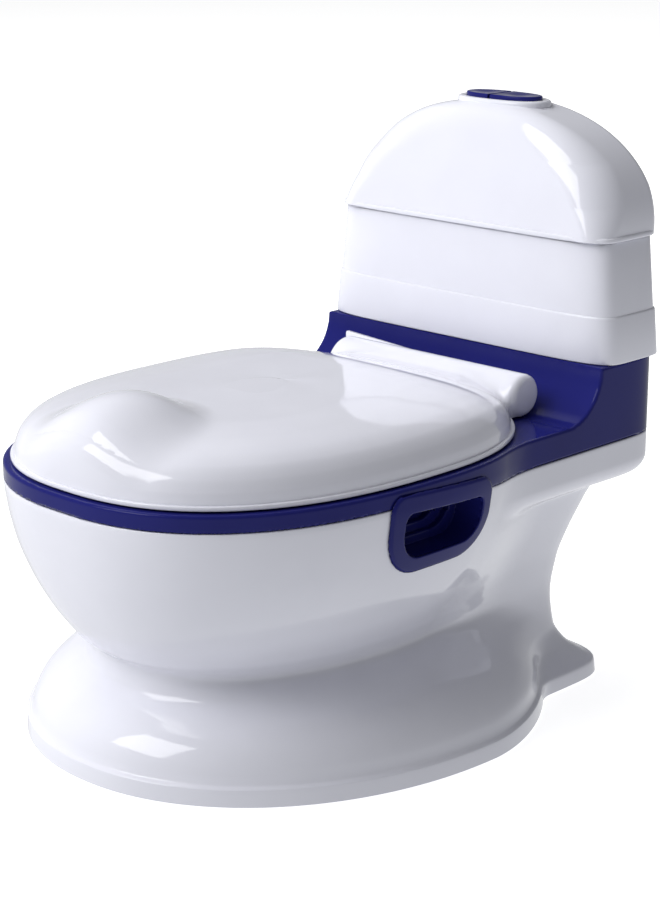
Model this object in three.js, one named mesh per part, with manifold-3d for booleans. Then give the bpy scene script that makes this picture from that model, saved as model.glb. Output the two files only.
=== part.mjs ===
// Potty training chair shaped like a small toilet: pedestal body, blue rim frame,
// hinged lid over a seat ring and a lift-out pot, and a tank with two flush buttons.
// Millimetres, +Z up, +X to the sitter's left, the bowl faces -Y and the tank stands at +Y.
// The origin is on the floor, under the middle of the outer box.
import * as THREE from 'three';
import { mergeVertices } from 'three/addons/utils/BufferGeometryUtils.js';
import Module from 'manifold-3d';

const wasm = await Module();
wasm.setup();

// ---- driving dimensions -------------------------------------------------------------------
const GAP = 0.3; // clearance left between pieces that touch
const WALL = 3; // moulded wall of the big shells

const RIM = { halfWidth: 131.5, front: -200, back: 116.6, widest: -26.6, power: 2.43 };
const RIM_BOTTOM = 163.6; // lower edge of the blue band round the front
const RIM_TOP = 173.7; // what the lid comes down on
const DECK_BOTTOM = 156; // lower edge of the blue deck behind the grips
const DECK_TOP = 173.7;
const DECK_HALF = 118; // half the width of the deck and shelf
const DECK_FRONT = 20; // where the straight sides of deck and shelf begin inside the bowl
const DECK_START = -28; // where the deep rear part of the frame starts, behind the grips

const BACK = 200; // rear face of tank, deck and shelf
const TANK_FRONT = 134.2;
const TANK_BOTTOM = 206; // top of the blue plinth
const TANK_STEP = 235.9; // top of the slightly proud band round the tank's foot
const TANK_RIDGE = 281.5; // joint line between tank and cover
const TANK_HALF = 120; // half width at the foot
const TANK_HALF_TOP = 112; // half width at the ridge
const COVER_TOP = 355.5;
const COVER_LEAN = 16; // how far the front of the cover leans back at its top

const SKIRT_BOTTOM = 1;
const SKIRT_TOP = 12;
const SHELF_BOTTOM = 128;

const LID_INSET = 4.3;
const LID_BOTTOM = 174.8;
const HINGE = { y: 104, z: 188, radius: 13, halfLength: 79 };
const BUMP = { y: -150, halfWidth: 46, halfLength: 46, height: 49 };

const GRIP = { y: -27.5, bottom: 121, top: 168.5, halfLength: 42.5, cornerTop: 12, cornerBottom: 26 };
const GRIP_MOUTH = { bottom: 131, top: 156.5, halfLength: 32, cornerTop: 8, cornerBottom: 15 };
const GRIP_DEPTH = 34; // from the widest part of the bowl to the back of the finger pocket

const POT_HOLE = { halfWidth: 100, front: -168, back: 76, widest: -34, power: 2.2 };
const POT_BOTTOM = 66;
const SEAT_TOP = 187;
const SEAT_HOLE = { halfWidth: 76, front: -130, back: 52, widest: -38, power: 2.2 };

const BUTTON = { y: 176, halfWidth: 29, halfLength: 12.5, top: 361.5, travel: 3 };
const FOOT = { radius: 11, height: 4 };

// ---- materials ----------------------------------------------------------------------------
const plastic = (color, roughness) => new THREE.MeshStandardMaterial({ color, roughness, metalness: 0 });
const MATERIAL = {
  white: () => plastic(0xf1f1f6, 0.22),
  blue: () => plastic(0x262a63, 0.2),
  pot: () => plastic(0xe9eaf0, 0.35),
  rubber: () => plastic(0x4a4c52, 0.85),
  steel: () => new THREE.MeshStandardMaterial({ color: 0xb8bac0, roughness: 0.35, metalness: 1 }),
  board: () => plastic(0x1f6b3a, 0.5),
  battery: () => plastic(0x2b2d33, 0.4),
  dark: () => plastic(0x26272b, 0.6),
};

// ---- solids -------------------------------------------------------------------------------
function toSolid(geometry) {
  const bare = geometry.clone();
  bare.deleteAttribute('normal');
  bare.deleteAttribute('uv');
  const merged = mergeVertices(bare, 1e-4);
  const index = merged.index.array;
  const kept = [];
  for (let i = 0; i < index.length; i += 3) {
    const [a, b, c] = [index[i], index[i + 1], index[i + 2]];
    if (a !== b && b !== c && c !== a) kept.push(a, b, c);
  }
  const mesh = new wasm.Mesh({
    numProp: 3,
    vertProperties: new Float32Array(merged.attributes.position.array),
    triVerts: new Uint32Array(kept),
  });
  return new wasm.Manifold(mesh);
}

function toGeometry(solid) {
  const mesh = solid.getMesh();
  const geometry = new THREE.BufferGeometry();
  geometry.setAttribute('position', new THREE.BufferAttribute(new Float32Array(mesh.vertProperties), 3));
  geometry.setIndex(new THREE.BufferAttribute(new Uint32Array(mesh.triVerts), 1));
  return geometry;
}

const join = (...solids) => solids.reduce((whole, next) => whole.add(next));
const cut = (whole, ...tools) => tools.reduce((left, tool) => left.subtract(tool), whole);

// A box given by its lowest and highest corners.
function box(low, high) {
  const size = high.map((value, axis) => value - low[axis]);
  const geometry = new THREE.BoxGeometry(...size);
  geometry.translate(...high.map((value, axis) => (value + low[axis]) / 2));
  return toSolid(geometry);
}

// An upright cylinder between two heights.
function post(x, y, bottom, top, radius, sides = 16) {
  const geometry = new THREE.CylinderGeometry(radius, radius, top - bottom, sides);
  geometry.rotateX(Math.PI / 2);
  geometry.translate(x, y, (bottom + top) / 2);
  return toSolid(geometry);
}

// A cylinder along X.
function rod(left, right, y, z, radius, sides = 16) {
  const geometry = new THREE.CylinderGeometry(radius, radius, right - left, sides);
  geometry.rotateZ(Math.PI / 2);
  geometry.translate((left + right) / 2, y, z);
  return toSolid(geometry);
}

// A point at an angle on an egg of two half superellipses, which meet where it is widest.
function ovalPoint(oval, angle) {
  const power = Math.sin(angle) > 0 ? oval.rearPower ?? oval.power : oval.power;
  const bend = (value) => (Math.abs(value) < 1e-6 ? 0 : Math.sign(value) * Math.abs(value) ** (2 / power));
  const along = bend(Math.sin(angle));
  const reach = along > 0 ? oval.back - oval.widest : oval.widest - oval.front;
  return [oval.halfWidth * bend(Math.cos(angle)), oval.widest + reach * along];
}

const shrink = (oval, by) => ({
  ...oval,
  halfWidth: oval.halfWidth - by,
  front: oval.front + by,
  back: oval.back - by,
});

// The skin that passes through a stack of ovals, each at its own height z.
function stackGeometry(ovals, segments = 48) {
  const profile = [new THREE.Vector2(0, 0)];
  ovals.forEach((_, level) => profile.push(new THREE.Vector2(1, level)));
  profile.push(new THREE.Vector2(0, ovals.length - 1));
  const geometry = new THREE.LatheGeometry(profile, segments);
  geometry.rotateX(Math.PI / 2);
  const place = geometry.attributes.position;
  for (let i = 0; i < place.count; i += 1) {
    const oval = ovals[Math.round(place.getZ(i))];
    const reach = Math.hypot(place.getX(i), place.getY(i));
    const angle = Math.atan2(place.getY(i), place.getX(i));
    const [x, y] = reach > 0.5 ? ovalPoint(oval, angle) : [0, oval.widest];
    place.setXYZ(i, x, y, oval.z);
  }
  return geometry;
}

const stack = (ovals, segments) => toSolid(stackGeometry(ovals, segments));

// A rounded rectangle given by its half width, its front and back, as an oval of high power.
const slab = (z, halfWidth, front, back, power = 6) => ({
  z,
  halfWidth,
  front,
  back,
  widest: (back + front) / 2,
  power,
});

// A rectangle whose lower and upper corners have their own radii.
function roundedShape(left, right, bottom, top, lowerRadius, upperRadius = lowerRadius) {
  const shape = new THREE.Shape();
  shape.moveTo(left + lowerRadius, bottom);
  shape.lineTo(right - lowerRadius, bottom);
  shape.absarc(right - lowerRadius, bottom + lowerRadius, lowerRadius, -Math.PI / 2, 0);
  shape.absarc(right - upperRadius, top - upperRadius, upperRadius, 0, Math.PI / 2);
  shape.absarc(left + upperRadius, top - upperRadius, upperRadius, Math.PI / 2, Math.PI);
  shape.absarc(left + lowerRadius, bottom + lowerRadius, lowerRadius, Math.PI, 1.5 * Math.PI);
  return shape;
}

// An outline drawn in (y, z), pulled along X from left to right.
function sideways(shape, left, right, curveSegments = 4) {
  const options = { depth: right - left, bevelEnabled: false, curveSegments };
  const geometry = new THREE.ExtrudeGeometry(shape, options);
  geometry.rotateX(Math.PI / 2);
  geometry.rotateZ(Math.PI / 2);
  geometry.translate(left, 0, 0);
  return toSolid(geometry);
}

// A pan-head screw pointing up, its head's underside at height z.
function screwUp(x, y, z, length, radius = 1.5, headRadius = 3.2, headHeight = 2.2) {
  return join(post(x, y, z - headHeight, z, headRadius, 10), post(x, y, z - 0.5, z + length, radius, 6));
}

// ---- body ---------------------------------------------------------------------------------
// Key sections of the pedestal from the floor to the rim: height, half width, front, back,
// where it is widest, and the powers of its front and rear halves.
const PEDESTAL = [
  [SKIRT_BOTTOM, 153.4, -191.8, 156.4, -1.9, 2.08, 1.7],
  [SKIRT_TOP - 1, 152.8, -191.2, 155.8, -1.9, 2.08, 1.7],
  [SKIRT_TOP + 1, 150.2, -188.6, 153, -1.9, 2.08, 1.7],
  [22, 147, -185.4, 148, -3, 2.08, 1.75],
  [30, 141.5, -180, 140, -5, 2.08, 1.8],
  [40, 129, -167.5, 128, -8, 2.09, 1.9],
  [50, 110, -156, 112, -12, 2.1, 2],
  [60, 93, -155, 100, -16, 2.15, 2.1],
  [72, 99, -167.4, 92, -20, 2.2, 2.2],
  [90, 110.8, -179.3, 96, -24, 2.3, 2.3],
  [110, 119.9, -188.4, 105, -26.6, 2.38, 2.38],
  [130, 126.2, -194.7, 111, -26.6, 2.43, 2.43],
  [148, 129.9, -198.4, 115, -26.6, 2.43, 2.43],
  [RIM_BOTTOM - GAP, 131.3, -199.8, 116.4, -26.6, 2.43, 2.43],
];

const SKIPPED_INSIDE = [SKIRT_TOP - 1, SKIRT_TOP + 1, 90, 130, 148]; // sections the plain inside does without

// Key sections of the rear column that carries the tank shelf: height, half width, back.
const COLUMN = [
  [SKIRT_BOTTOM, 115, 163],
  [SKIRT_TOP - 2, 114, 162],
  [SKIRT_TOP, 110, 158],
  [18, 97, 153],
  [30, 88, 149],
  [52, 86, 147],
  [76, 89, 149],
  [98, 95, 155],
  [116, 101, 162],
  [SHELF_BOTTOM + 6, 106, 170],
];
const COLUMN_FRONT = 20;

// Key sections of the shelf under the tank: height, half width, back.
const SHELF = [
  [SHELF_BOTTOM, 106, 186],
  [SHELF_BOTTOM + 3, 111, 192],
  [SHELF_BOTTOM + 9, 115.5, 197],
  [SHELF_BOTTOM + 17, DECK_HALF, BACK - 0.5],
  [DECK_BOTTOM - GAP, DECK_HALF, BACK],
];
const SHELF_POWER = 9;

const pedestalOval = ([z, halfWidth, front, back, widest, power, rearPower], inset) => ({
  z,
  halfWidth: halfWidth - inset,
  front: front + inset,
  back: back - inset,
  widest,
  power,
  rearPower,
});

const SIDES = [['left', 1], ['right', -1]];
const boundBox = 400; // large enough to cut away everything on one side of a plane

// The body's outside, or with an inset the hollow inside it, which is open at the floor.
function bodyForm(inset) {
  const hollow = inset > 0;
  const rows = (table) => (hollow ? [[-5, ...table[0].slice(1)], ...table.slice(1)] : table);
  const bowlRows = hollow ? PEDESTAL.filter(([z]) => !SKIPPED_INSIDE.includes(z)) : PEDESTAL;
  const bowl = stack(rows(bowlRows).map((row) => pedestalOval(row, inset)), hollow ? 20 : 40);
  const column = stack(
    rows(COLUMN).map(([z, half, back]) => slab(z, half - inset, COLUMN_FRONT, back - inset)),
    hollow ? 12 : 24,
  );
  const shelf = stack(
    SHELF.map(([z, half, back], level) => slab(
      level === 0 ? z + inset : z,
      half - inset,
      DECK_FRONT,
      back - inset,
      SHELF_POWER,
    )),
    hollow ? 12 : 24,
  );
  return join(bowl, column, shelf);
}

function bodyShell() {
  const rearTop = box([-boundBox, DECK_START, DECK_BOTTOM - GAP], [boundBox, boundBox, boundBox]);
  const mouth = stack([
    { ...shrink(RIM, WALL + 0.5), z: RIM_BOTTOM - 8 },
    { ...shrink(RIM, WALL + 0.5), z: RIM_BOTTOM + 20 },
  ], 24);
  const shelfMouth = stack([DECK_BOTTOM - 4, DECK_BOTTOM + 20].map((z) => (
    slab(z, DECK_HALF - WALL, DECK_FRONT, BACK - WALL, SHELF_POWER)
  )), 16);
  const shell = cut(bodyForm(0), rearTop, bodyForm(WALL), mouth, shelfMouth);
  const fitted = join(
    shell,
    ...FOOT_PLACES.map(([x, y]) => footSocket(x, y)),
    ...FRAME_SCREWS.map(([x, y]) => screwLug(x, y)),
  );
  return cut(fitted, gripHole(1), gripHole(-1));
}

// ---- feet ---------------------------------------------------------------------------------
const FOOT_PLACES = [[-90, 132], [90, 132], [-108.5, -108.5], [108.5, -108.5]];
const FOOT_SOCKET_RADIUS = 15;

function footSocket(x, y) {
  const boss = post(x, y, SKIRT_BOTTOM, 12, FOOT_SOCKET_RADIUS, 12);
  const recess = post(x, y, 0, FOOT.height + GAP, FOOT.radius + GAP, 16);
  return cut(boss, recess);
}

const footPad = ([x, y]) => post(x, y, 0, FOOT.height, FOOT.radius, 16);

// ---- frame screws -------------------------------------------------------------------------
const FRAME_SCREWS = [[-104, 96], [104, 96], [-104, 178], [104, 178]];
const LUG_BOTTOM = 147.5;
const LUG_TOP = 152;

function screwLug(x, y) {
  const outward = Math.sign(x);
  const outer = outward * (DECK_HALF - 1);
  const inner = x - outward * 7;
  const tab = box([Math.min(outer, inner), y - 7, LUG_BOTTOM], [Math.max(outer, inner), y + 7, LUG_TOP]);
  return cut(tab, post(x, y, LUG_BOTTOM - 1, LUG_TOP + 1, 1.9, 8));
}

// ---- grips --------------------------------------------------------------------------------
const GRIP_WALL = 2;
const GRIP_PROUD = 2.6;
const GRIP_INNER = RIM.halfWidth - GRIP_DEPTH;

function gripOutline(frame, grow = 0) {
  return roundedShape(
    GRIP.y - frame.halfLength - grow,
    GRIP.y + frame.halfLength + grow,
    frame.bottom - grow,
    frame.top + grow,
    frame.cornerBottom,
    frame.cornerTop,
  );
}

// The hole in the body and frame that takes the grip's tub.
function gripHole(side) {
  const outline = gripOutline(GRIP_MOUTH, GRIP_WALL + GAP);
  const inner = GRIP_INNER - 5;
  return side > 0 ? sideways(outline, inner, boundBox) : sideways(outline, -boundBox, -inner);
}

// The bowl's outside where the grip lies against it, grown outwards.
const backing = (grow) => stack([
  ...PEDESTAL.filter(([z]) => z > 100 && z < RIM_BOTTOM - 1).map((row) => pedestalOval(row, -grow)),
  { ...shrink(RIM, -grow), z: RIM_BOTTOM },
  { ...shrink(RIM, -grow), z: RIM_TOP + 2 },
], 40);

function gripBezel(side) {
  const proud = backing(GRIP_PROUD);
  const face = sideways(gripOutline(GRIP), 90, boundBox).intersect(proud).subtract(backing(GAP));
  const tub = sideways(gripOutline(GRIP_MOUTH, GRIP_WALL), GRIP_INNER, boundBox).intersect(backing(1));
  const hollow = sideways(gripOutline(GRIP_MOUTH), GRIP_INNER + GRIP_WALL, boundBox);
  const ribs = GRIP_RIBS.map((y) => box(
    [GRIP_INNER + 1, y - 1, GRIP_MOUTH.bottom - 1],
    [GRIP_INNER + GRIP_WALL + 12, y + 1, GRIP_MOUTH.bottom + 9],
  ));
  const whole = join(cut(join(face, tub), hollow), ...ribs);
  return side > 0 ? whole : whole.mirror([1, 0, 0]);
}
const GRIP_RIBS = [GRIP.y - 14, GRIP.y + 2, GRIP.y + 18];

// ---- rim frame ----------------------------------------------------------------------------
const SWEEP = TANK_BOTTOM - DECK_TOP; // the deck sweeps up to the tank in this radius

// The deck, and above it the concave sweep up to the foot of the tank.
function deckForm(inset) {
  const low = DECK_BOTTOM - (inset > 0 ? 5 : 0);
  const back = BACK - inset;
  const half = DECK_HALF - inset;
  const deck = stack([
    slab(low, half, DECK_FRONT, back, SHELF_POWER),
    slab(DECK_TOP - inset, half, DECK_FRONT, back, SHELF_POWER),
  ], inset > 0 ? 12 : 24);
  const sweep = stack([0, 0.15, 0.4, 0.7, 1].map((part) => {
    const turn = (part * Math.PI) / 2;
    const front = TANK_FRONT - SWEEP * (1 - Math.sin(turn));
    const level = DECK_TOP + SWEEP * (1 - Math.cos(turn)) - inset - 0.2 * (1 - part);
    return slab(level, half, front + inset, back, 7);
  }), inset > 0 ? 12 : 24);
  return join(deck, sweep);
}

function rimForm(inset) {
  const top = inset > 0 ? RIM_TOP - WALL : RIM_TOP;
  const edge = (z, extra = 0) => ({ ...shrink(RIM, inset + extra), z });
  const ring = stack([edge(RIM_BOTTOM - inset * 2), edge(top - 2), edge(top, 2)], inset > 0 ? 24 : 40);
  const deepFront = DECK_START + inset;
  const deepFoot = { ...pedestalOval(PEDESTAL.at(-2), inset), z: DECK_BOTTOM - inset * 2 };
  const deep = stack([deepFoot, edge(RIM_BOTTOM)], inset > 0 ? 24 : 40);
  const rear = cut(deep, box([-boundBox, -boundBox, -boundBox], [boundBox, deepFront, boundBox]));
  return join(ring, rear, deckForm(inset));
}

function rimFrame() {
  const outer = rimForm(0);
  const inner = rimForm(WALL);
  const hole = stack([{ ...POT_HOLE, z: RIM_BOTTOM - 30 }, { ...POT_HOLE, z: RIM_TOP + 10 }], 28);
  let frame = cut(outer, inner, hole);
  const bosses = FRAME_SCREWS.map(([x, y]) => {
    const boss = post(x, y, LUG_TOP + GAP, y > TANK_FRONT ? TANK_BOTTOM - 1 : DECK_TOP - 1, 4.6, 10);
    return cut(boss, post(x, y, 0, LUG_TOP + 16, 1.9, 8));
  });
  frame = join(frame, ...bosses, ...SIDES.map(([, side]) => hingePost(side)));
  frame = cut(frame, ...TANK_SCREWS.map(([x, y]) => post(x, y, DECK_TOP, TANK_BOTTOM + 5, 2, 8)));
  return cut(frame, gripHole(1), gripHole(-1));
}

// ---- lid ----------------------------------------------------------------------------------
// The lid's side and crown: height, and how far the oval has drawn in there.
const LID_SIDE = [
  [0, 0], [2.6, 0], [3.4, 1.6], [9, 3], [16, 6.5], [22, 13], [26.5, 24], [30, 42], [32.5, 70],
];
const LID_OVAL = shrink(RIM, LID_INSET);
function lidDome(inset) {
  const rows = inset > 0 ? [[-5, 0], ...LID_SIDE.slice(3)] : LID_SIDE;
  return stack(rows.map(([height, drawn]) => ({
    ...shrink(LID_OVAL, drawn + inset),
    z: LID_BOTTOM + height - (height > 0 ? inset : 0),
  })), inset > 0 ? 20 : 40);
}

// The mound over the splash guard.
function lidBump(inset) {
  const mound = new THREE.SphereGeometry(1, inset > 0 ? 12 : 20, inset > 0 ? 6 : 12);
  mound.rotateX(Math.PI / 2);
  mound.scale(BUMP.halfWidth - inset, BUMP.halfLength - inset, BUMP.height - inset);
  mound.translate(0, BUMP.y, LID_BOTTOM);
  const bottom = LID_BOTTOM + (inset > 0 ? -5 : 0);
  const above = box([-boundBox, -boundBox, bottom], [boundBox, boundBox, boundBox]);
  return toSolid(mound).intersect(above);
}

// The barrel at the lid's rear that turns on the hinge pins, with a web to the crown.
const barrel = (inset) => rod(
  -HINGE.halfLength + inset,
  HINGE.halfLength - inset,
  HINGE.y,
  HINGE.z,
  HINGE.radius - inset,
  inset > 0 ? 12 : 20,
);

function lidWeb(inset) {
  const shape = new THREE.Shape();
  const low = LID_BOTTOM + (inset > 0 ? -5 : 0);
  shape.moveTo(HINGE.y - 44 + inset, low);
  shape.lineTo(HINGE.y - 1, low);
  shape.lineTo(HINGE.y - 1, HINGE.z + HINGE.radius - 1.5 - inset);
  shape.quadraticCurveTo(HINGE.y - 20, HINGE.z + 4 - inset, HINGE.y - 44 + inset, HINGE.z + 5 - inset);
  return sideways(shape, -HINGE.halfLength + inset + 3, HINGE.halfLength - inset - 3, 6);
}

function lid() {
  const behind = box([-boundBox, HINGE.y, -boundBox], [boundBox, boundBox, HINGE.z]);
  const outer = join(cut(lidDome(0), behind), lidBump(0), lidWeb(0), barrel(0));
  const inner = join(lidDome(WALL), lidBump(WALL), lidWeb(WALL), barrel(WALL));
  const underside = box(
    [-HINGE.halfLength + WALL, HINGE.y - 12, LID_BOTTOM - 9],
    [HINGE.halfLength - WALL, HINGE.y + 7, HINGE.z - 6],
  );
  const eyes = [-70, -40, 40, 70].map((x) => rod(x - 4, x + 4, HINGE.y, HINGE.z, HINGE.radius - 1, 12));
  const slots = SIDES.map(([, side]) => {
    const x = side * HINGE_POST.x;
    const half = HINGE_POST.halfWidth + 1.5;
    return box([x - half, HINGE.y - 7, LID_BOTTOM - 9], [x + half, HINGE.y + HINGE.radius + 2, HINGE.z + 7]);
  });
  return cut(join(cut(outer, inner, underside), ...eyes), pinHole(), ...slots);
}

// ---- hinge --------------------------------------------------------------------------------
const HINGE_POST = { x: 55, halfWidth: 8 };
const PIN_RADIUS = 2.5;
const pinHole = () =>
  rod(-HINGE.halfLength - 2, HINGE.halfLength + 2, HINGE.y, HINGE.z, PIN_RADIUS + GAP, 12);

function hingePost(side) {
  const x = side * HINGE_POST.x;
  const half = HINGE_POST.halfWidth;
  const foot = box([x - half, HINGE.y - 6, DECK_TOP - 1], [x + half, HINGE.y + 6, HINGE.z]);
  const eye = rod(x - half, x + half, HINGE.y, HINGE.z, 6, 16);
  return cut(join(foot, eye), pinHole());
}

function hingePin(side) {
  const inner = 37;
  const outer = HINGE.halfLength - WALL - 1;
  return side > 0
    ? rod(inner, outer, HINGE.y, HINGE.z, PIN_RADIUS, 12)
    : rod(-outer, -inner, HINGE.y, HINGE.z, PIN_RADIUS, 12);
}

// ---- seat, guard and pot ------------------------------------------------------------------
const SEAT_OVAL = shrink(LID_OVAL, 9);
const SEAT_BOTTOM = RIM_TOP + 4;
const SEAT_BACK = 84;

function seatRing() {
  const hole = (z, grow) => ({ ...shrink(SEAT_HOLE, -grow), z });
  const outer = stack([
    { ...shrink(SEAT_OVAL, 1), z: SEAT_BOTTOM },
    { ...SEAT_OVAL, z: SEAT_BOTTOM + 4 },
    { ...shrink(SEAT_OVAL, 2), z: SEAT_TOP - 3 },
    { ...shrink(SEAT_OVAL, 8), z: SEAT_TOP },
  ], 36);
  const opening = stack([
    hole(SEAT_BOTTOM - 5, 1),
    hole(SEAT_TOP - 6, 0),
    hole(SEAT_TOP - 2, 2),
    hole(SEAT_TOP + 2, 8),
  ], 28);
  const back = box([-boundBox, SEAT_BACK, -boundBox], [boundBox, boundBox, boundBox]);
  const guardSlot = box(
    [-20 - GAP, GUARD_TAB.front - GAP, SEAT_BOTTOM - 1],
    [20 + GAP, GUARD_TAB.back + GAP, SEAT_TOP + 4],
  );
  return cut(outer, opening, back, guardSlot);
}

// The pale rail behind the lid's barrel, which backs the hinge.
const RAIL = { left: -86, right: 72, front: 118, back: 121.5, bottom: 180.7, top: 199.5 };
const hingeRail = () => box([RAIL.left, RAIL.front, RAIL.bottom], [RAIL.right, RAIL.back, RAIL.top]);

const GUARD = { halfWidth: 32, rise: 20.5, depth: 22, y: -130 };

// The splash guard is a curved tongue that plugs into the front of the seat.
function splashGuard() {
  const tongue = new THREE.SphereGeometry(1, 16, 10);
  tongue.rotateX(Math.PI / 2);
  tongue.scale(GUARD.halfWidth, GUARD.depth, GUARD.rise);
  tongue.translate(0, GUARD.y, SEAT_TOP + GAP);
  const kept = box([-boundBox, -boundBox, SEAT_TOP + GAP], [boundBox, GUARD.y + 6, boundBox]);
  const scoop = post(0, GUARD.y + 40, 0, boundBox, 46, 24);
  const tab = box([-20, GUARD_TAB.front, SEAT_BOTTOM + 1], [20, GUARD_TAB.back, SEAT_TOP + 3]);
  return join(cut(toSolid(tongue).intersect(kept), scoop), tab);
}
const GUARD_TAB = { front: -142, back: -137 };

// Key sections of the pot from its floor up: height and how far its oval draws in.
const POT_SIDE = [[POT_BOTTOM, 56], [POT_BOTTOM + 7, 44], [84, 33], [110, 20], [142, 9], [167, 5]];

function pottyPot() {
  const bowl = (inset, top) => stack([
    ...POT_SIDE.map(([z, drawn], level) => ({
      ...shrink(POT_HOLE, drawn + inset),
      z: level === 0 ? z + inset : z,
    })),
    { ...shrink(POT_HOLE, 4 + inset), z: top },
  ], inset > 0 ? 20 : 28);
  const flangeBottom = RIM_TOP + GAP;
  const flangeTop = flangeBottom + 2.4;
  const flange = stack([flangeBottom, flangeTop].map((z) => ({ ...shrink(POT_HOLE, -6), z })), 28);
  return cut(join(bowl(0, flangeTop), flange), bowl(2.2, flangeTop + 5));
}

// ---- tank ---------------------------------------------------------------------------------
const tankSection = (z, halfWidth, front, back) => slab(z, halfWidth, front, back, 5.5);
const TANK_TAPER = (TANK_HALF - TANK_HALF_TOP) / (TANK_RIDGE - TANK_BOTTOM);
const halfAt = (z) => TANK_HALF - TANK_TAPER * (z - TANK_BOTTOM);
const frontAt = (z) => TANK_FRONT + (TANK_LEAN * (z - TANK_BOTTOM)) / (TANK_RIDGE - TANK_BOTTOM);
const TANK_LEAN = 1; // how far the tank's front leans back at the ridge

function tankBody() {
  const level = (z, inset, proud = 0) => tankSection(
    z,
    halfAt(z) - inset + proud,
    frontAt(z) + inset - proud,
    BACK - 0.6 - inset + proud,
  );
  const bottom = TANK_BOTTOM + GAP;
  const top = TANK_RIDGE - GAP;
  const outer = stack([
    level(bottom, 0, 0.4),
    level(TANK_STEP - 1, 0, 0.4),
    level(TANK_STEP, 0, -0.5),
    level(top, 0, -0.5),
  ], 36);
  const inner = stack([level(bottom + WALL, WALL), level(top + 5, WALL)], 20);
  const holes = TANK_SCREWS.map(([x, y]) => post(x, y, bottom - 1, bottom + 9, 1.9, 8));
  const bosses = TANK_SCREWS.map(([x, y]) => post(x, y, bottom + WALL - 0.5, bottom + 12, 4.5, 10));
  return cut(join(cut(outer, inner), ...bosses), ...holes);
}

const TANK_SCREWS = [[-80, 152], [80, 152], [-80, 184], [80, 184]];

// How the arch draws in where its front and back edges round over: depth and inset.
const ARCH_EDGE = [[0, 15], [1.5, 8.5], [5, 3.6], [10, 1], [16, 0]];

// The arch is a stack of ellipses lying along Y, cut at the joint line; its front leans back.
function coverForm(inset) {
  const front = frontAt(TANK_RIDGE) + inset;
  const back = BACK - 0.6 - inset;
  const rise = COVER_TOP - TANK_RIDGE;
  const depths = [
    ...ARCH_EDGE.map(([depth, drawn]) => [back - depth, drawn]),
    ...ARCH_EDGE.map(([depth, drawn]) => [front + depth, drawn]).reverse(),
  ];
  const geometry = stackGeometry(depths.map(([depth, drawn]) => ({
    z: -depth,
    halfWidth: TANK_HALF_TOP - inset - drawn,
    front: -rise + inset + drawn,
    back: rise - inset - drawn,
    widest: 0,
    power: 2,
  })), inset > 0 ? 24 : 44);
  geometry.rotateX(Math.PI / 2);
  const place = geometry.attributes.position;
  for (let i = 0; i < place.count; i += 1) {
    const forward = (back - place.getY(i)) / (back - front);
    const height = Math.max(place.getZ(i), 0) / rise;
    place.setY(i, place.getY(i) + COVER_LEAN * height * forward);
  }
  geometry.translate(0, 0, TANK_RIDGE);
  const below = box([-boundBox, -boundBox, -boundBox], [boundBox, boundBox, TANK_RIDGE]);
  return toSolid(geometry).subtract(below);
}

const BUTTON_OVAL = {
  halfWidth: BUTTON.halfWidth,
  front: BUTTON.y - BUTTON.halfLength,
  back: BUTTON.y + BUTTON.halfLength,
  widest: BUTTON.y,
  power: 2.4,
};
const BEZEL_OVAL = shrink(BUTTON_OVAL, -5.5);
const BEZEL_BOTTOM = 350;
const BEZEL_TOP = 359;
const LIP = 6; // how far the cover's inner lip drops into the tank

function tankCover() {
  const rim = (z, out) => tankSection(
    z,
    TANK_HALF_TOP + out,
    frontAt(TANK_RIDGE) - out,
    Math.min(BACK, BACK - 0.6 + out),
  );
  const bead = stack([rim(TANK_RIDGE, 1.4), rim(TANK_RIDGE + 3, 1.4), rim(TANK_RIDGE + 4, 0)], 28);
  const lip = cut(
    stack([rim(TANK_RIDGE - LIP, -WALL - GAP), rim(TANK_RIDGE + 6, -WALL - GAP)], 20),
    stack([rim(TANK_RIDGE - LIP - 1, -WALL - 2.3), rim(TANK_RIDGE + 8, -WALL - 2.3)], 20),
  );
  const mouth = stack([rim(TANK_RIDGE - 1, -WALL - 1), rim(TANK_RIDGE + 5, -WALL - 1)], 20);
  const hollow = join(coverForm(WALL), mouth);
  const shell = join(cut(join(coverForm(0), bead), hollow, bezelHole()), lip);
  return join(shell, ...HOUSING_SCREWS.map(coverBoss));
}

const bezelHole = () => stack([
  { ...shrink(BEZEL_OVAL, 2.2), z: BEZEL_BOTTOM - 30 },
  { ...shrink(BEZEL_OVAL, 2.2), z: COVER_TOP + 10 },
], 24);

// ---- flush buttons ------------------------------------------------------------------------
function flushBezel() {
  const crown = stack([
    { ...BEZEL_OVAL, z: BEZEL_BOTTOM },
    { ...BEZEL_OVAL, z: BEZEL_TOP - 1.2 },
    { ...shrink(BEZEL_OVAL, 1.2), z: BEZEL_TOP },
  ], 28).subtract(coverForm(-GAP));
  const collar = stack([
    { ...shrink(BEZEL_OVAL, 2.5), z: BEZEL_BOTTOM - 2 },
    { ...shrink(BEZEL_OVAL, 2.5), z: BEZEL_TOP - 1 },
  ], 24);
  const well = stack([
    { ...shrink(BUTTON_OVAL, -GAP), z: BEZEL_BOTTOM - 20 },
    { ...shrink(BUTTON_OVAL, -GAP), z: BEZEL_TOP + 5 },
  ], 28);
  return cut(join(crown, collar), well);
}

const SPLIT = { x: -3, lean: 3, gap: 0.8 }; // the slot between the two buttons

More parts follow.
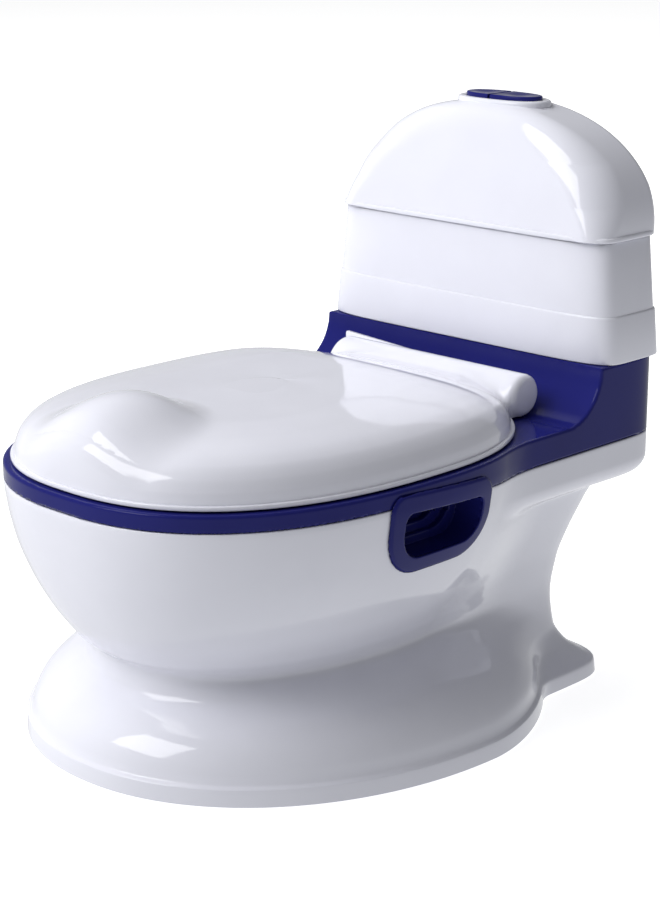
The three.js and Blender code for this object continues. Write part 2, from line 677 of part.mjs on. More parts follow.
function buttonHalf(side) {
  const body = stack([
    { ...BUTTON_OVAL, z: BUTTON.top - 12 },
    { ...BUTTON_OVAL, z: BUTTON.top - 1.5 },
    { ...shrink(BUTTON_OVAL, 1.2), z: BUTTON.top },
  ], 28);
  const edge = side > 0 ? [SPLIT.x + SPLIT.gap, boundBox] : [-boundBox, SPLIT.x - SPLIT.gap];
  const half = body.intersect(box([edge[0], 0, 0], [edge[1], boundBox, boundBox]));
  const x = buttonX(side);
  const stem = post(x, BUTTON.y, STEM_BOTTOM, BUTTON.top - 11, 2, 10);
  return join(half, stem);
}

const buttonX = (side) => (side > 0 ? 12 : -16);
const BOARD_TOP = 334;
const STEM_BOTTOM = BOARD_TOP + 1.6 + BUTTON.travel + GAP;
const SPRING = {
  wire: 0.5, radius: 3.2, bottom: BOARD_TOP + GAP, top: BUTTON.top - 12 - BUTTON.travel - GAP,
};

function buttonSpring(side) {
  const turns = 4;
  const stepsPerTurn = 7;
  const rise = SPRING.top - SPRING.bottom - SPRING.wire * 2;
  const points = [];
  for (let i = 0; i <= turns * stepsPerTurn; i += 1) {
    const angle = (i / stepsPerTurn) * Math.PI * 2;
    const z = SPRING.bottom + SPRING.wire + (rise * i) / (turns * stepsPerTurn);
    points.push(new THREE.Vector3(
      buttonX(side) + SPRING.radius * Math.cos(angle),
      BUTTON.y + SPRING.radius * Math.sin(angle),
      z,
    ));
  }
  const wire = new THREE.Shape();
  wire.absarc(0, 0, SPRING.wire, 0, Math.PI * 2);
  return new THREE.ExtrudeGeometry(wire, {
    extrudePath: new THREE.CatmullRomCurve3(points),
    steps: turns * stepsPerTurn,
    curveSegments: 2,
    bevelEnabled: false,
  });
}

// ---- sound module -------------------------------------------------------------------------
const HOUSING = { halfWidth: 34, front: 158, back: 194, bottom: 309, top: 342 };
const HOUSING_SCREWS = [[-39, 176], [39, 176]];
const FLOOR = 2;
const DOOR = { left: -26, right: 26, front: 162, back: 190 };

function coverBoss([x, y]) {
  const boss = post(x, y, HOUSING.top + GAP, COVER_TOP, 3.4, 12);
  return cut(boss.intersect(coverForm(1)), post(x, y, 0, HOUSING.top + 4.5, 1.3, 8));
}

function soundHousing() {
  const { halfWidth, front, back, bottom, top } = HOUSING;
  const tray = cut(
    box([-halfWidth, front, bottom], [halfWidth, back, top]),
    box([-halfWidth + 2, front + 2, bottom + FLOOR], [halfWidth - 2, back - 2, top + 5]),
    box([DOOR.left, DOOR.front, bottom - 1], [DOOR.right, DOOR.back, bottom + FLOOR + 1]),
  );
  const ears = HOUSING_SCREWS.map(([x, y]) => {
    const inner = Math.sign(x) * (halfWidth - 1);
    const outer = x + Math.sign(x) * 4;
    const ear = box([Math.min(inner, outer), y - 4, top - 3], [Math.max(inner, outer), y + 4, top]);
    return cut(ear, post(x, y, top - 5, top + 2, 1.9, 8));
  });
  const shelves = [-1, 1].map((side) => {
    const [near, far] = [side * (halfWidth - 5), side * (halfWidth - 1)];
    const [left, right] = [Math.min(near, far), Math.max(near, far)];
    return box([left, front + 1, BOARD_TOP - 6], [right, back - 1, BOARD_TOP - 1.9]);
  });
  return join(tray, ...ears, ...shelves);
}

const circuitBoard = () =>
  box([-31, HOUSING.front + 2.5, BOARD_TOP - 1.6], [31, HOUSING.back - 2.5, BOARD_TOP]);
const batteryDoor = () => join(
  box(
    [DOOR.left + GAP, DOOR.front + GAP, HOUSING.bottom],
    [DOOR.right - GAP, DOOR.back - GAP, HOUSING.bottom + FLOOR],
  ),
  box([-6, DOOR.back - 6, HOUSING.bottom - 1.2], [6, DOOR.back - 4, HOUSING.bottom + 0.5]),
);
const battery = (i) => rod(-22, 22, 165.2 + i * 10.8, HOUSING.bottom + FLOOR + 5.6, 5.1, 16);
const speaker = () => post(0, 176, BOARD_TOP - 7.2, BOARD_TOP - 1.6 - GAP, 12, 20);
const tactSwitch = (side) => join(
  box(
    [buttonX(side) - 1.6, BUTTON.y - 1.6, BOARD_TOP + 0.01],
    [buttonX(side) + 1.6, BUTTON.y + 1.6, BOARD_TOP + 1],
  ),
  post(buttonX(side), BUTTON.y, BOARD_TOP + 0.9, BOARD_TOP + 1.5, 1, 8),
);

// ---- bumpers ------------------------------------------------------------------------------
const LID_BUMPERS = [[-92, -50], [92, -50]];
const SEAT_BUMPERS = [[-100, 40], [100, 40], [-108, -80], [108, -80]];

const LID_BUMPER_TOP = LID_BOTTOM + 24;

// A small rubber stop between two faces.
const bumper = ([x, y], bottom, top) => post(x, y, bottom + GAP, top - GAP, 4.5, 10);

// ---- assembly -----------------------------------------------------------------------------
const chair = new THREE.Group();

function add(name, shape, material) {
  const geometry = shape.isBufferGeometry ? shape : toGeometry(shape);
  geometry.computeVertexNormals();
  const mesh = new THREE.Mesh(geometry, material());
  mesh.name = name;
  chair.add(mesh);
}

add('body_shell', bodyShell(), MATERIAL.white);
add('rim_frame', rimFrame(), MATERIAL.blue);
for (const [name, side] of SIDES) add(`grip_${name}`, gripBezel(side), MATERIAL.blue);
add('seat_ring', seatRing(), MATERIAL.white);
add('splash_guard', splashGuard(), MATERIAL.white);
add('potty_pot', pottyPot(), MATERIAL.pot);
add('lid', lid(), MATERIAL.white);
for (const [name, side] of SIDES) add(`hinge_pin_${name}`, hingePin(side), MATERIAL.steel);
add('hinge_rail', hingeRail(), MATERIAL.white);
add('tank_body', tankBody(), MATERIAL.white);
add('tank_cover', tankCover(), MATERIAL.white);
add('flush_bezel', flushBezel(), MATERIAL.white);
add('flush_button_large', buttonHalf(1), MATERIAL.blue);
add('flush_button_small', buttonHalf(-1), MATERIAL.blue);
add('button_spring_large', buttonSpring(1), MATERIAL.steel);
add('button_spring_small', buttonSpring(-1), MATERIAL.steel);
add('sound_housing', soundHousing(), MATERIAL.dark);
add('battery_door', batteryDoor(), MATERIAL.dark);
add('circuit_board', circuitBoard(), MATERIAL.board);
add('speaker', speaker(), MATERIAL.dark);
for (const i of [0, 1]) add(`battery_${i + 1}`, battery(i), MATERIAL.battery);
add('switch_large', tactSwitch(1), MATERIAL.dark);
add('switch_small', tactSwitch(-1), MATERIAL.dark);

const CORNERS = ['rear_right', 'rear_left', 'front_right', 'front_left'];
CORNERS.forEach((name, i) => {
  add(`foot_pad_${name}`, footPad(FOOT_PLACES[i]), MATERIAL.rubber);
  add(`seat_bumper_${name}`, bumper(SEAT_BUMPERS[i], RIM_TOP, SEAT_BOTTOM), MATERIAL.rubber);
});
LID_BUMPERS.forEach((place, i) => {
  add(`lid_bumper_${i + 1}`, bumper(place, SEAT_TOP, LID_BUMPER_TOP), MATERIAL.rubber);
});
FRAME_SCREWS.forEach(([x, y], i) => {
  add(`frame_screw_${i + 1}`, screwUp(x, y, LUG_BOTTOM - GAP, 14), MATERIAL.steel);
});
TANK_SCREWS.forEach(([x, y], i) => {
  add(`tank_screw_${i + 1}`, screwUp(x, y, TANK_BOTTOM - WALL - GAP, 12), MATERIAL.steel);
});
HOUSING_SCREWS.forEach(([x, y], i) => {
  add(`housing_screw_${i + 1}`, screwUp(x, y, HOUSING.top - 3 - GAP, 6.5, 1, 2.4, 1.6), MATERIAL.steel);
});

export default chair;
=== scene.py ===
"""Potty training chair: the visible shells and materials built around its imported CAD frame.

Blender works in metres. The shapes below are written in millimetres, +Z up, and become metres in one place.
"""
import math

import bpy
import numpy as np
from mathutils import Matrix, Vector

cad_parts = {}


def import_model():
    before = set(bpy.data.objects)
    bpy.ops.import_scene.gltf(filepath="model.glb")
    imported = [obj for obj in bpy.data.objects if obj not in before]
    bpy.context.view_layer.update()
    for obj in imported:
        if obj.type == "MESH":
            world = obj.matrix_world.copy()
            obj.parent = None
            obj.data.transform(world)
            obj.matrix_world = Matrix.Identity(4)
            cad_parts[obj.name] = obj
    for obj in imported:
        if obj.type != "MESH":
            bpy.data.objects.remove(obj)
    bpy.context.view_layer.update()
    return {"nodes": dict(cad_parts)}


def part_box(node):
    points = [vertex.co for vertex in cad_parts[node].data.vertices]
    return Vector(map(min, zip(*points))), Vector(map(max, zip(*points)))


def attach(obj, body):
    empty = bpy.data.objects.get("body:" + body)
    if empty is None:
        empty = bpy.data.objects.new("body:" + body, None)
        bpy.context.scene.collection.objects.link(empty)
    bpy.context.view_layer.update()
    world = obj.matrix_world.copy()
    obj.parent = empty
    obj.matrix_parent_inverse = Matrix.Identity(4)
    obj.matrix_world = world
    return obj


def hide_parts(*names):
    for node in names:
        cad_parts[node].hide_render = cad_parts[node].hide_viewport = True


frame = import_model()
MM = 0.001


def box_mm(node):
    low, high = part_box(node)
    return np.array(low) / MM, np.array(high) / MM


# ---- sizes, in millimetres, from the frame where a node's box gives them ----------------------------------
BODY_LOW, BODY_HIGH = box_mm("body_shell")
FRAME_LOW, FRAME_HIGH = box_mm("rim_frame")
LID_LOW, LID_HIGH = box_mm("lid")
TANK_LOW, TANK_HIGH = box_mm("tank_body")
COVER_LOW, COVER_HIGH = box_mm("tank_cover")
BEZEL_LOW, BEZEL_HIGH = box_mm("flush_bezel")
SEAT_LOW, SEAT_HIGH = box_mm("seat_ring")
POT_LOW, POT_HIGH = box_mm("potty_pot")
GUARD_LOW, GUARD_HIGH = box_mm("splash_guard")
PIN_LOW, PIN_HIGH = box_mm("hinge_pin_left")

GAP = 0.3
WALL = 3.0
BACK = BODY_HIGH[1]
RIM_BOTTOM = BODY_HIGH[2] + GAP
RIM_HEIGHT = 10.1
RIM_TOP = RIM_BOTTOM + RIM_HEIGHT
RIM_WIDEST = -26.6
RIM_POWER = 2.43
RIM_BACK = 116.6
# An oval is its half width, front, back, where it is widest, and power.
RIM = (FRAME_HIGH[0], FRAME_LOW[1], RIM_BACK, RIM_WIDEST, RIM_POWER)
DECK_BOTTOM = 156.0
SPLIT_START = -46.0
SPLIT_END = 44.0
DECK_HALF = 118.0
DECK_FRONT = 20.0
TANK_FRONT = 134.2
TANK_FOOT = FRAME_HIGH[2]
SHELF_BOTTOM = 128.0
LID_BOTTOM = LID_LOW[2]
LID_INSET = RIM[0] - LID_HIGH[0]
HINGE_Y, HINGE_Z = (PIN_LOW[1:] + PIN_HIGH[1:]) / 2
BARREL_RADIUS = 13.4
BARREL_LEFT_END = 83.0
BARREL_RIGHT_END = 77.0
PIN_HOLE = (PIN_HIGH[2] - PIN_LOW[2]) / 2 + GAP
POST_X = 55.0
POT_HOLE = (100.0, -168.0, 76.0, -34.0, 2.2)
SEAT_HOLE = (76.0, -130.0, 52.0, -38.0, 2.2)
RIDGE = TANK_HIGH[2] + GAP
TANK_FOOT_HALF = 120.0
TANK_NARROWING = 8.0
TANK_BACK = BACK - 0.6
BAND_TOP = 235.9
BISECTIONS = 30

# Sections of the pedestal by height: half width, front, back, where it is widest, front and rear power.
PEDESTAL = [
    [1, 153.4, -191.8, 156.4, -1.9, 2.08, 1.7],
    [11, 152.8, -191.2, 155.8, -1.9, 2.08, 1.7],
    [13, 150.2, -188.6, 153, -1.9, 2.08, 1.7],
    [22, 147, -185.4, 148, -3, 2.08, 1.75],
    [30, 141.5, -180, 140, -5, 2.08, 1.8],
    [40, 129, -167.5, 128, -8, 2.09, 1.9],
    [50, 110, -156, 112, -12, 2.1, 2],
    [60, 93, -155, 100, -16, 2.15, 2.1],
    [72, 99, -167.4, 92, -20, 2.2, 2.2],
    [90, 110.8, -179.3, 96, -24, 2.3, 2.3],
    [110, 119.9, -188.4, 105, -26.6, 2.38, 2.38],
    [130, 126.2, -194.7, 111, -26.6, 2.43, 2.43],
    [148, 129.9, -198.4, 115, -26.6, 2.43, 2.43],
    [RIM_BOTTOM, RIM[0], RIM[1], RIM[2], RIM_WIDEST, RIM_POWER, RIM_POWER],
    [RIM_TOP + 10, RIM[0], RIM[1], RIM[2], RIM_WIDEST, RIM_POWER, RIM_POWER],
]
# Sections of the rear column by height: half width, back.
COLUMN = [
    [1, 115, 163], [10, 114, 162], [12, 110, 158], [18, 97, 153], [30, 88, 149], [52, 86, 147],
    [76, 89, 149], [98, 95, 155], [116, 101, 162], [134, 106, 170], [200, 106, 170],
]
# How far the lid's dome has risen at a distance inside its foot, which stands on a narrow flange.
LID_LEDGE = 1.6
LID_RISE = [[0, 3.4], [1.4, 9], [4.9, 16], [11.4, 22], [22.4, 26.6], [40.4, 30], [68.4, 32.4], [130, 33.4]]


# ---- fields: below zero inside a shape, in millimetres ------------------------------------------------------
def smooth_table(table, at):
    """Columns of a table read between its rows on a monotone cubic."""
    rows = np.array(table, float)
    x, y = rows[:, 0], rows[:, 1:]
    step = np.diff(x)[:, None]
    slope = np.diff(y, axis=0) / step
    rise = np.zeros_like(y)
    same = slope[1:] * slope[:-1] > 0
    with np.errstate(divide="ignore", invalid="ignore"):
        mean = 2 * slope[1:] * slope[:-1] / (slope[1:] + slope[:-1])
    rise[1:-1] = np.where(same, mean, 0)
    rise[0], rise[-1] = slope[0], slope[-1]
    k = np.clip(np.searchsorted(x, at) - 1, 0, len(x) - 2)
    t = np.clip((at - x[k]) / (x[k + 1] - x[k]), 0, 1)[..., None]
    h = step[k]
    value = ((1 + 2 * t) * (1 - t) ** 2 * y[k] + t * (1 - t) ** 2 * h * rise[k]
             + t * t * (3 - 2 * t) * y[k + 1] + t * t * (t - 1) * h * rise[k + 1])
    return np.moveaxis(value, -1, 0)


def egg(x, y, half, front, back, widest, power, rear_power=None):
    """Two half superellipses that meet where the egg is widest."""
    rear = y > widest
    n = power if rear_power is None else np.where(rear, rear_power, power)
    reach = np.where(rear, back - widest, widest - front)
    ratio = ((np.abs(x) / half) ** n + (np.abs(y - widest) / reach) ** n) ** (1 / n)
    ratio = np.maximum(ratio, 1e-6)
    return np.hypot(x, y - widest) * (1 - 1 / ratio)


def slab(x, y, half, front, back, power):
    return egg(x, y, half, front, back, (front + back) / 2, power)


def shrunk(oval, by):
    half, front, back, widest, power = oval
    return half - by, front + by, back - by, widest, power


def blend(a, b, width):
    """Union with a smooth fillet about as wide as width."""
    h = np.clip(0.5 + 0.5 * (b - a) / width, 0, 1)
    return b + (a - b) * h - width * h * (1 - h)


def rounded(a, b, radius):
    """Intersection whose edge is rounded to a radius."""
    outside = np.hypot(np.maximum(a + radius, 0), np.maximum(b + radius, 0))
    return np.minimum(np.maximum(a, b), -radius) + outside


def rounded_rectangle(u, v, left, right, bottom, top, low_radius, high_radius):
    radius = np.where(v < (bottom + top) / 2, low_radius, high_radius)
    du = np.abs(u - (left + right) / 2) - (right - left) / 2 + radius
    dv = np.abs(v - (bottom + top) / 2) - (top - bottom) / 2 + radius
    return np.minimum(np.maximum(du, dv), 0) + np.hypot(np.maximum(du, 0), np.maximum(dv, 0)) - radius


def box_field(x, y, z, low, high):
    sides = [np.abs(v - (a + b) / 2) - (b - a) / 2 for v, a, b in zip((x, y, z), low, high)]
    return np.maximum(np.maximum(sides[0], sides[1]), sides[2])


def rod_field(x, y, z, centre_x, half, radius):
    """A cylinder along X on the hinge line."""
    return np.maximum(np.hypot(y - HINGE_Y, z - HINGE_Z) - radius, np.abs(x - centre_x) - half)


def skin(x, y, z):
    """The chair's outside from the floor to the top of the frame, with soft joins."""
    half, front, back, widest, power, rear = smooth_table(PEDESTAL, z)
    bowl = egg(x, y, half, front, back, widest, power, rear)
    column_half, column_back = smooth_table(COLUMN, z)
    column = slab(x, y, column_half, DECK_FRONT, column_back, 6)
    shelf = rounded(slab(x, y, DECK_HALF, DECK_FRONT, BACK, 9), SHELF_BOTTOM - z, 13)
    low_join = np.interp(z, [0, 12, 30, 70, 120, RIM_BOTTOM, RIM_TOP], [4, 8, 26, 30, 26, 12, 8])
    return blend(blend(bowl, column, low_join), shelf, np.interp(z, [120, 150, RIM_TOP], [4, 8, 8]))


GRIP = {"left": -70.5, "right": 17.0, "bottom": 120.0, "top": 169.0, "low": 27.0, "high": 11.0, "slant": 0.055}
MOUTH = {"left": -59.5, "right": 8.0, "bottom": 130.0, "top": 157.5, "low": 16.0, "high": 6.0, "slant": 0.055}
GRIP_INNER = 97.5
GRIP_PROUD = 2.6
MOUTH_ROOM = 2.3  # how much wider than the mouth the hole in the body and frame is


def grip_outline(y, z, shape, grow=0.0):
    middle = (shape["left"] + shape["right"]) / 2
    upper = np.clip((z - shape["bottom"]) / (shape["top"] - shape["bottom"]), 0, 1)
    level = z + shape["slant"] * (y - middle) * upper
    return rounded_rectangle(y, level, shape["left"] - grow, shape["right"] + grow, shape["bottom"] - grow,
                             shape["top"] + grow, shape["low"], shape["high"])


def grip_hole(x, y, z):
    return np.maximum(grip_outline(y, z, MOUTH, MOUTH_ROOM), GRIP_INNER - 5 - np.abs(x))


def split_height(y):
    """Where the white body ends and the blue frame begins: it drops in a soft S beside the grips."""
    share = np.clip((y - SPLIT_START) / (SPLIT_END - SPLIT_START), 0, 1)
    return RIM_BOTTOM - (RIM_BOTTOM - DECK_BOTTOM) * share * share * (3 - 2 * share)


def frame_field(p):
    x, y, z = p
    outer = skin(x, y, np.minimum(z, RIM_TOP))
    radius = TANK_FOOT - RIM_TOP
    from_centre = radius - np.hypot(y - (TANK_FRONT - radius), z - TANK_FOOT)
    top = np.where(y < TANK_FRONT - radius, z - RIM_TOP, np.maximum(z - TANK_FOOT, from_centre))
    solid = rounded(outer, top, 1.6)
    inside = np.maximum(outer + WALL, top + WALL)
    shell = rounded(np.maximum(solid, -inside), split_height(y) - z, 0.7)
    shell = np.maximum(shell, -egg(x, y, *POT_HOLE))
    side = np.abs(x)
    foot = box_field(side, y, z, (POST_X - 8, HINGE_Y - 6, RIM_TOP - 1), (POST_X + 8, HINGE_Y + 6, HINGE_Z))
    post = np.minimum(foot, rod_field(side, y, z, POST_X, 8, 6))
    shell = np.minimum(shell, post)
    shell = np.maximum(shell, -rod_field(side, y, z, POST_X, 20, PIN_HOLE))
    return np.maximum(shell, -grip_hole(x, y, z))


STEPS = [(0.0, 109.0), (5.5, 104.5), (10.5, GRIP_INNER + 2)]  # how the finger pocket steps in: inset, depth


def grip_field(p):
    x, y, z = p
    reach = np.abs(x)
    outer = skin(x, y, np.minimum(z, RIM_TOP))
    face = rounded(rounded(outer - GRIP_PROUD, grip_outline(y, z, GRIP), 2.2), GAP - outer, 0.2)
    tub = np.maximum(np.maximum(grip_outline(y, z, MOUTH, 2), outer - 1), GRIP_INNER - reach)
    whole = np.minimum(face, tub)
    for inset, depth in STEPS:
        hollow = np.maximum(grip_outline(y, z, MOUTH, -inset), depth - reach)
        whole = rounded(whole, -hollow, 0.8)
    return whole


LID_OVAL = shrunk(RIM, LID_INSET)
MOUND = {"y": -148.0, "half": 47.0, "front": 52.0, "rear": 47.0, "height": LID_HIGH[2] - LID_LOW[2] - 1.5}
LID_TAIL_HALF = 79.0


def lid_outer(x, y, z):
    edge = egg(x, y, *shrunk(LID_OVAL, LID_LEDGE))
    tail = rounded(np.abs(x) - LID_TAIL_HALF, np.abs(y - 105) - 55, 8)
    foot = blend(edge, tail, 9)
    (rise,) = smooth_table(LID_RISE, np.maximum(-foot, 0))
    fall = np.clip((y - 24) / 74, 0, 1)
    rise = rise * (1 - 0.25 * fall * fall * (3 - 2 * fall))
    slope = np.interp(-foot, [0, 3, 8, 20, 50], [3.8, 3.0, 1.6, 1.1, 1.0])
    dome = rounded((z - LID_BOTTOM - rise) / slope, foot, 1.5)
    dome = rounded(dome, y - HINGE_Y + 3, 1.5)
    ahead = y < MOUND["y"]
    length = np.where(ahead, MOUND["front"], MOUND["rear"])
    flat = np.sqrt((x / MOUND["half"]) ** 2 + ((y - MOUND["y"]) / length) ** 2
                   + ((z - LID_BOTTOM) / MOUND["height"]) ** 2)
    mound = rounded((flat - 1) * MOUND["half"], foot + 1.2, 20)
    soft = np.interp(y, [-190, -150, -120], [22, 18, 13])
    top = rounded(blend(dome, mound, soft), foot, 1.5)
    past_end = np.where(x > 0, x - BARREL_LEFT_END, -x - BARREL_RIGHT_END)
    barrel = rounded(np.hypot(y - HINGE_Y, z - HINGE_Z) - BARREL_RADIUS, past_end, np.where(x > 0, 4.5, 9.0))
    return blend(top, barrel, 6)


def lid_field(p):
    x, y, z = p
    outer = lid_outer(x, y, z)
    side = np.abs(x)
    inner = outer + WALL
    eye = 4 - np.minimum(np.abs(side - 40), np.abs(side - 70))
    inner = np.maximum(inner, np.where(y > HINGE_Y - 10, eye, -1e3))
    shell = np.maximum(np.maximum(outer, -inner), LID_BOTTOM - z)
    under = box_field(x, y, z, (-76, HINGE_Y - 12, 150), (76, HINGE_Y + 7, HINGE_Z - 6))
    shell = np.maximum(shell, -np.maximum(under, eye))
    slot = box_field(side, y, z, (POST_X - 9.5, HINGE_Y - 7, 150), (POST_X + 9.5, HINGE_Y + 20, HINGE_Z + 7))
    shell = np.maximum(shell, -slot)
    pin_room = np.maximum(np.hypot(y - HINGE_Y, z - HINGE_Z) - PIN_HOLE, side - PIN_HIGH[0] - 1)
    return np.maximum(shell, -pin_room)


COVER_RISE = 76.3
ARCH_POWER = 2.12
COVER_LEAN = 16.0
COVER_HALF = 112.0
COVER_BACK = TANK_BACK
COVER_FRONT = TANK_FRONT + 1


def cover_outer(x, y, z):
    height = np.maximum(z - RIDGE, 0)
    reach = ((np.abs(x) / COVER_HALF) ** ARCH_POWER + (height / COVER_RISE) ** ARCH_POWER) ** (1 / ARCH_POWER)
    arch = np.hypot(x, height) * (1 - 1 / np.maximum(reach, 1e-6))
    lean = COVER_FRONT + COVER_LEAN * height / COVER_RISE
    front = rounded(arch, lean - y, np.interp(height, [0, 20, 45, 70], [15, 24, 24, 13]))
    return rounded(front, y - COVER_BACK, np.interp(height, [0, 30], [14, 9]))


BUTTON_Y = (BEZEL_LOW[1] + BEZEL_HIGH[1]) / 2
BEZEL_HALF = BEZEL_HIGH[0]
BEZEL_OVAL = (BEZEL_HALF, BEZEL_LOW[1], BEZEL_HIGH[1], BUTTON_Y, 2.4)
BUTTON_OVAL = shrunk(BEZEL_OVAL, 5.5)
BOSS_X, BOSS_RADIUS, BOSS_BORE = 39, 3.4, 1.3
HOUSING_TOP = 342


def cover_field(p):
    x, y, z = p
    outer = cover_outer(x, y, z)
    shell = np.maximum(np.maximum(outer, -(outer + WALL)), RIDGE - z)
    shell = np.maximum(shell, -np.maximum(egg(x, y, *shrunk(BEZEL_OVAL, 2.2)), 300 - z))
    from_boss = np.hypot(np.abs(x) - BOSS_X, y - BUTTON_Y)
    boss = np.maximum(from_boss - BOSS_RADIUS, HOUSING_TOP + GAP - z)
    boss = np.maximum(boss, outer + 1)
    shell = np.minimum(shell, np.maximum(boss, BOSS_BORE - from_boss))
    lip = slab(x, y, COVER_HALF - WALL - GAP, COVER_FRONT + WALL + GAP, COVER_BACK - WALL - GAP, 5.5)
    lip = np.maximum(np.maximum(lip, -(lip + 2)), np.maximum(COVER_LOW[2] - z, z - RIDGE - 4))
    return np.minimum(shell, lip)


def seat_field(p):
    x, y, z = p
    outer = egg(x, y, SEAT_HIGH[0], SEAT_LOW[1], LID_OVAL[2] - 9, RIM_WIDEST, RIM_POWER)
    opening = -egg(x, y, *SEAT_HOLE)
    ring = rounded(rounded(outer, opening, 2), z - SEAT_HIGH[2], 5.5)
    ring = rounded(ring, SEAT_LOW[2] - z, 1.5)
    ring = rounded(ring, y - SEAT_HIGH[1], 3)
    slot = box_field(x, y, z, (-20.4, -142.4, 100), (20.4, -136.6, 300))
    return np.maximum(ring, -slot)


def guard_field(p):
    x, y, z = p
    base = SEAT_HIGH[2] + GAP
    centre = GUARD_LOW[1] + 22
    rise = GUARD_HIGH[2] - base
    shape = np.sqrt((x / GUARD_HIGH[0]) ** 2 + ((y - centre) / 22) ** 2 + ((z - base) / rise) ** 2)
    tongue = rounded((shape - 1) * 21, base - z, 1.2)
    tongue = rounded(tongue, 46 - np.hypot(x, y - centre - 40), 1.6)
    tongue = rounded(tongue, y - GUARD_HIGH[1], 1)
    tab = box_field(x, y, z, (-20, -142, GUARD_LOW[2]), (20, -137, base + 3))
    return np.minimum(tongue, tab)


SPLIT_X = -3.0
SPLIT_GAP = 0.8


def button_field(side, node):
    low, high = box_mm(node)
    centre_x = 12.0 if side > 0 else -16.0

    def field(p):
        x, y, z = p
        dish = 0.8 * np.exp(-((x - centre_x) / 9) ** 2 - ((y - BUTTON_Y) / 7) ** 2)
        cap = rounded(egg(x, y, *BUTTON_OVAL), z - high[2] + dish, 1.1)
        cap = np.maximum(cap, high[2] - 12 - z)
        cap = rounded(cap, side * (SPLIT_X + side * SPLIT_GAP - x), 0.6)
        stem = np.maximum(np.hypot(x - centre_x, y - BUTTON_Y) - 2, np.maximum(low[2] - z, z - high[2] + 11))
        return np.minimum(cap, stem)

    return field


# ---- meshes ---------------------------------------------------------------------------------------------------
AXES = np.eye(3, dtype=int)


def gradient(field, points):
    reach = 0.04
    here = field(points.T)
    slopes = [(field((points + axis * reach).T) - here) / reach for axis in AXES]
    return here, np.stack(slopes, axis=1)


def net(field, low, high, step):
    """A quad mesh over the surface where a field is zero, as points, quads and outward normals."""
    margin = 2 * step
    spans = [np.arange(a - margin, b + margin + step, step) for a, b in zip(low, high)]
    grid = field(np.meshgrid(*spans, indexing="ij"))
    inside = grid < 0
    corners = sum(
        inside[i:inside.shape[0] - 1 + i, j:inside.shape[1] - 1 + j, k:inside.shape[2] - 1 + k].astype(np.int8)
        for i in (0, 1) for j in (0, 1) for k in (0, 1)
    )
    active = (corners > 0) & (corners < 8)
    cells = np.argwhere(active)
    number = np.full(active.shape, -1)
    number[active] = np.arange(len(cells))
    total = np.zeros((len(cells), 3))
    count = np.zeros((len(cells), 1))
    quads = []
    for axis in range(3):
        across, up = (axis + 1) % 3, (axis + 2) % 3
        for offset in (0 * AXES[0], AXES[across], AXES[up], AXES[across] + AXES[up]):
            start = cells + offset
            end = start + AXES[axis]
            a, b = grid[tuple(start.T)], grid[tuple(end.T)]
            crosses = ((a < 0) != (b < 0))[:, None]
            share = np.where(crosses, (a / np.where(a == b, 1, a - b))[:, None], 0)
            total += np.where(crosses, start + share * AXES[axis], 0)
            count += crosses
        first = np.moveaxis(inside, axis, 0)
        changes = np.argwhere(np.moveaxis(first[:-1] != first[1:], 0, axis))
        for way in (across, up):
            changes = changes[(changes[:, way] > 0) & (changes[:, way] < inside.shape[way] - 1)]
        loop = [changes - AXES[across] - AXES[up], changes - AXES[up], changes, changes - AXES[across]]
        quad = np.stack([number[tuple(c.T)] for c in loop], axis=1)
        outward = inside[tuple(changes.T)]
        quads.append(np.where(outward[:, None], quad, quad[:, ::-1]))
    points = np.array([s[0] for s in spans]) + total / count * step
    for _ in range(3):
        here, slope = gradient(field, points)
        size = np.maximum((slope ** 2).sum(1), 0.05)
        move = -(here / size)[:, None] * slope
        far = np.linalg.norm(move, axis=1, keepdims=True)
        points = points + move * np.minimum(1, 0.5 * step / np.maximum(far, 1e-9))
    _, slope = gradient(field, points)
    normals = slope / np.maximum(np.linalg.norm(slope, axis=1, keepdims=True), 1e-9)
    return points, np.concatenate(quads), normals


def make_piece(name, points, faces, material, body, node=None, slot=None, normals=None):
    mesh = bpy.data.meshes.new(name)
    mesh.from_pydata((np.asarray(points) * MM).tolist(), [], [list(map(int, f)) for f in faces])
    mesh.validate()
    mesh.polygons.foreach_set("use_smooth", [True] * len(mesh.polygons))
    if normals is not None and len(normals) == len(mesh.vertices):
        mesh.normals_split_custom_set_from_vertices(np.asarray(normals).tolist())
    mesh.materials.append(material)
    piece = bpy.data.objects.new(name, mesh)
    bpy.context.scene.collection.objects.link(piece)
    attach(piece, body)
    if node:
        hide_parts(*([node] if isinstance(node, str) else node))
    return piece


def net_piece(name, field, box, step, material, body, node, slot):
    points, quads, normals = net(field, *box, step)
    return make_piece(name, points, quads, material, body, node, slot, normals)


def loft(rings, cap_first=False, cap_last=False, closed=False):
    """Quads between rings of points. Caps close the first and last ring, or closed joins the last to the first."""
    size = len(rings[0])
    points = np.concatenate(rings)
    faces = []
    pairs = len(rings) if closed else len(rings) - 1
    for level in range(pairs):
        a, b = level * size, ((level + 1) % len(rings)) * size
        faces += [[a + i, a + (i + 1) % size, b + (i + 1) % size, b + i] for i in range(size)]
    if cap_first:
        faces.append(list(range(size))[::-1])
    if cap_last:
        faces.append([len(points) - size + i for i in range(size)])
    return points, faces


def join_meshes(parts):
    points, faces, start = [], [], 0
    for some_points, some_faces in parts:
        points.append(some_points)
        faces += [[start + i for i in face] for face in some_faces]
        start += len(some_points)
    return np.concatenate(points), faces


